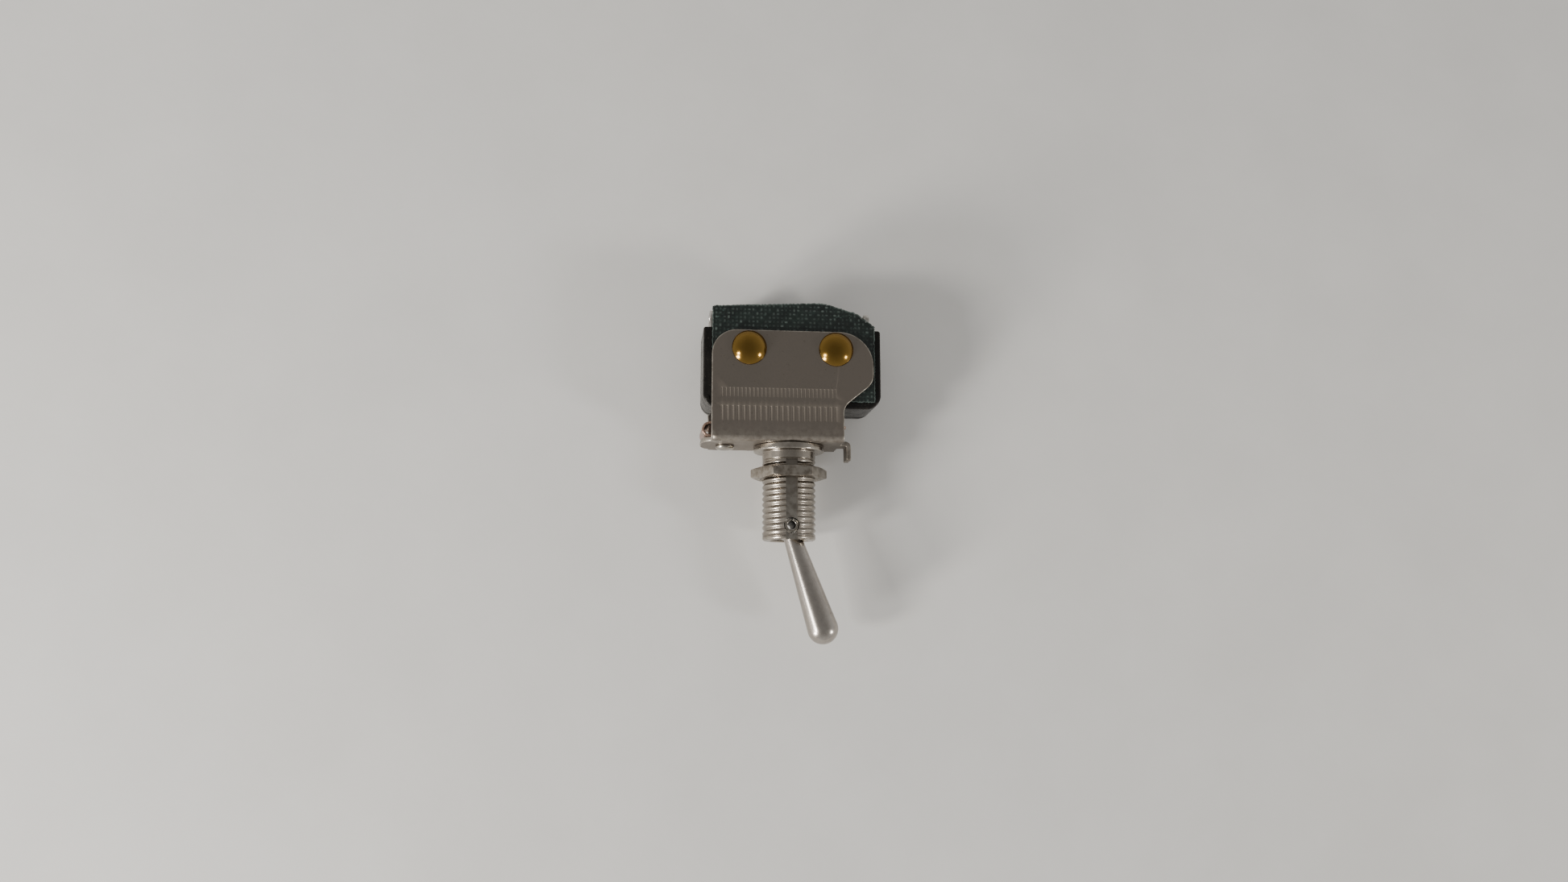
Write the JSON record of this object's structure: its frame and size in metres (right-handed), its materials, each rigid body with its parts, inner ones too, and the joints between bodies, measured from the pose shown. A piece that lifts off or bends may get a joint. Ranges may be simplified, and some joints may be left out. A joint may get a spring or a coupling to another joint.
{
  "type": "panel-mount toggle switch",
  "caption": "Small panel-mount toggle: a bat lever in a threaded bushing with a hex nut works a snap-action switch riveted in a sheet-metal bracket.",
  "frame": {"origin": "middle of the underside of the switch as it lies on its side, on the plane of the rivet tails", "axes": "+Y along the bushing's axis from the lever to the terminals, +Z out of the near plate with the dome rivet heads, +X to the side that the lever leans to at rest"},
  "size_m": [0.0196, 0.0372, 0.0096],
  "materials": {
    "bracket_nickel": "satin nickel plate",
    "bushing_nickel": "nickel plate",
    "nut_nickel": "satin nickel plate",
    "lever_chrome": "satin chrome plate",
    "pin_steel": "plain",
    "rod_nylon": "moulded nylon",
    "rivet_left_brass": "bright",
    "rivet_right_brass": "bright",
    "sheet_near": "woven, resin filled",
    "sheet_far": "woven, resin filled",
    "case_phenolic": "moulded phenolic",
    "cover_phenolic": "moulded phenolic",
    "plunger_nylon": "moulded nylon",
    "blade_copper": "rolled beryllium copper",
    "moving_silver": "silver",
    "nc_silver": "silver",
    "no_silver": "silver",
    "common_terminal_tin": "tinned",
    "no_terminal_tin": "tinned",
    "nc_terminal_tin": "tinned",
    "leaf_copper": "rolled beryllium copper",
    "leaf_arm_copper": "rolled beryllium copper",
    "leaf_rivet_steel": "nickel plate"
  },
  "bodies": {
    "frame": {"bracket": "bracket_nickel", "bushing": "bushing_nickel", "pivot_pin": "pin_steel", "rivet_left": "rivet_left_brass", "rivet_right": "rivet_right_brass", "insulator_near": "sheet_near", "insulator_far": "sheet_far", "switch_case": "case_phenolic", "switch_cover": "cover_phenolic", "nc_contact": "nc_silver", "no_contact": "no_silver", "common_terminal": "common_terminal_tin", "no_terminal": "no_terminal_tin", "nc_terminal": "nc_terminal_tin", "leaf_spring": "leaf_copper", "leaf_rivet": "leaf_rivet_steel"},
    "lever": {"lever": "lever_chrome"},
    "rod": {"push_rod": "rod_nylon"},
    "leaf": {"leaf_arm": "leaf_arm_copper"},
    "button": {"plunger": "plunger_nylon"},
    "blade": {"snap_blade": "blade_copper", "moving_contact": "moving_silver"},
    "nut": {"hex_nut": "nut_nickel"}
  },
  "joints": [
    {"name": "lever_tilt", "type": "hinge", "parent": "frame", "child": "lever", "pos_m": [-0.00003, -0.0059, 0.0046], "axis": [0, 0, -1], "range_deg": [0, 37]},
    {"name": "rod_slide", "type": "slide", "parent": "frame", "child": "rod", "axis": [0, 1, 0], "range_m": [0, 0.000476]},
    {"name": "leaf_flex", "type": "hinge", "parent": "frame", "child": "leaf", "pos_m": [-0.00898, 0.00511, 0.0046], "axis": [0, 0, 1], "range_deg": [0, 3.05]},
    {"name": "button_slide", "type": "slide", "parent": "frame", "child": "button", "axis": [0, 1, 0], "range_m": [0, 0.000561]},
    {"name": "blade_rock", "type": "hinge", "parent": "frame", "child": "blade", "pos_m": [-0.00702, 0.00903, 0.0046], "axis": [0, 0, 1], "range_deg": [0, 3.74]},
    {"name": "nut_spin", "type": "hinge", "parent": "frame", "child": "nut", "pos_m": [-0.00003, -0.00006, 0.0046], "axis": [0, -1, 0], "continuous": true}
  ],
  "couplings": [
    {"joint": "rod_slide", "follows": "lever_tilt", "m_per_rad": 0.00073704},
    {"joint": "leaf_flex", "follows": "lever_tilt", "ratio": 0.08235},
    {"joint": "button_slide", "follows": "lever_tilt", "m_per_rad": 0.0008688},
    {"joint": "blade_rock", "follows": "lever_tilt", "ratio": 0.10102}
  ]
}
